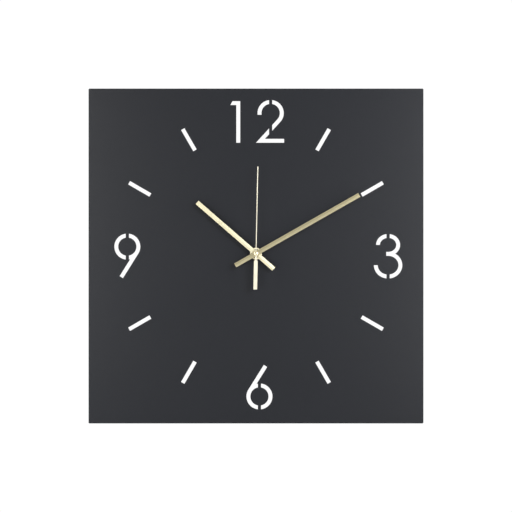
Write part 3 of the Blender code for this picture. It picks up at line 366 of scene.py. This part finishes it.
def cell_jacket():
    """A plain two-colour battery sleeve between bare steel ends."""
    steel, blue, copper = (0.62, 0.62, 0.64), (0.02, 0.06, 0.2), (0.75, 0.42, 0.12)
    metal, plastic = WHITE, (0.0, 0.0, 0.0)
    sleeve_start, copper_start, sleeve_end = 0.012, 0.7, 0.975  # shares of the cell's length
    paint = Paint("cell_jacket", blue, Coat_Weight=0.6)
    low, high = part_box("battery_cell")
    along = paint.node("ShaderNodeSeparateXYZ", [("Vector", paint.position())]).outputs["X"]
    share = paint.mapped(along, (low.x, high.x), (0.0, 1.0))
    sleeve = ((sleeve_start, blue), (copper_start, copper), (sleeve_end, steel))
    paint.bands(share, "Base Color", steel, sleeve)
    paint.bands(share, "Metallic", metal, ((sleeve_start, plastic), (copper_start, metal)))
    paint.rough(paint.noise(4 * MM), 0.24, 0.36)
    paint.relief(paint.noise(0.8 * MM), 0.01 * MM, 0.4)
    return paint.material


# Pieces


def fine_copy(node, material, bevel, segments=2, faceted=FACETED):
    """A piece with the node's own shape, welded and cleaned, with its real edges eased."""
    source = frame["nodes"][node]
    shell = bmesh.new()
    shell.from_mesh(source.data)
    bmesh.ops.remove_doubles(shell, verts=shell.verts, dist=WELD)
    bmesh.ops.dissolve_limit(shell, angle_limit=FLAT, verts=shell.verts, edges=shell.edges)
    mesh = bpy.data.meshes.new(f"{node}_looks")
    shell.to_mesh(mesh)
    shell.free()
    stale = mesh.attributes.get("custom_normal")  # belongs to the faces before they were cleaned
    if stale:
        mesh.attributes.remove(stale)
    mesh.shade_smooth()
    mesh.set_sharp_from_angle(angle=faceted)
    mesh.materials.append(material)
    piece = bpy.data.objects.new(f"{node}_looks", mesh)
    bpy.context.scene.collection.objects.link(piece)
    ease = piece.modifiers.new("Eased edges", "BEVEL")
    ease.width = bevel
    ease.segments = segments
    ease.limit_method = "ANGLE"
    ease.angle_limit = FACETED
    ease.harden_normals = True
    ease.miter_outer = "MITER_ARC"
    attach(piece, source["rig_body"])
    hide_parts(node)


def hand_angle(node):
    """Clockwise angle from the top at which a hand points, by its middle's place off the shaft."""
    middle = middle_of(node) - SHAFT
    return math.atan2(middle.x, middle.z)


def dial():
    fine_copy("dial_plate", powder_coat(), 0.2 * MM, 3)


def hands():
    colours = {
        "hour_hand_blade": BRASS,
        "minute_hand_blade": BRASS,
        # the second hand takes the darker, paler copy of the brass: painted shade on its highlight
        "second_hand_blade": PAINTED_SHADE_BRASS,
    }
    for node, colour in colours.items():
        brass = satin_brass(f"{node}_brass", colour, hand_angle(node))
        fine_copy(node, brass, 0.08 * MM, faceted=CREASED)
    turned = turned_brass()
    for node in ("hour_hand_collet", "minute_hand_collet", "second_hand_cap"):
        fine_copy(node, turned, 0.12 * MM)


def back_of_clock():
    black = plain_material("moulded_black", (0.018, 0.018, 0.019), 0.46, 0.0, 0.35 * MM, 0.03 * MM)
    rubber = plain_material("bumper_rubber", (0.022, 0.022, 0.023), 0.78, 0.0, 0.3 * MM, 0.04 * MM)
    steel = plain_material("bare_steel", (0.58, 0.58, 0.59), 0.34, 1.0, 0.2 * MM, 0.01 * MM)
    white = plain_material("moulded_white", (0.78, 0.77, 0.72), 0.42, 0.0, 0.3 * MM, 0.02 * MM)
    for corner in ("top_left", "top_right", "bottom_left", "bottom_right"):
        fine_copy(f"wall_bumper_{corner}", rubber, 0.5 * MM, 3)
    fine_copy("rubber_washer", rubber, 0.2 * MM)
    fine_copy("wall_hanger", zinc_plate(), 0.15 * MM)
    for node in ("movement_front_case", "movement_rear_case"):
        fine_copy(node, black, 0.25 * MM)
    for node in ("threaded_bush", "dial_washer", "bush_nut"):
        fine_copy(node, black, 0.12 * MM)
    fine_copy("battery_cell", cell_jacket(), 0.3 * MM)
    for node in ("battery_contact_plus", "battery_contact_minus"):
        fine_copy(node, steel, 0.08 * MM)
    fine_copy("setting_knob", white, 0.1 * MM)


def works():
    """The pieces inside the case keep their CAD meshes and take real finishes."""
    white = plain_material("gear_white", (0.80, 0.79, 0.75), 0.4, 0.0, 0.3 * MM, 0.01 * MM)
    steel = plain_material("motor_steel", (0.5, 0.5, 0.52), 0.38, 1.0, 0.2 * MM, 0.01 * MM)
    magnet = plain_material("sintered_magnet", (0.07, 0.07, 0.08), 0.5, 0.6, 0.15 * MM, 0.02 * MM)
    chip = plain_material("chip_resin", (0.012, 0.012, 0.012), 0.3, 0.0, 0.4 * MM, 0.02 * MM)
    brass = turned_brass()
    finishes = {
        "movement_middle_plate": white,
        "hour_wheel": white,
        "minute_wheel": white,
        "seconds_wheel": white,
        "third_wheel": white,
        "step_wheel": white,
        "coil_bobbin": white,
        "cannon_pinion": brass,
        "centre_wheel": brass,
        "motor_rotor": magnet,
        "motor_stator": steel,
        "coil_core": steel,
        "quartz_crystal": steel,
        "coil_winding": wound_copper(),
        "circuit_board": circuit_green(),
        "circuit_chip": chip,
    }
    for node, material in finishes.items():
        for holder in frame["nodes"][node].material_slots:
            holder.material = material


camera()
floor()
surroundings()
studio_lights()
dial()
hands()
back_of_clock()
works()
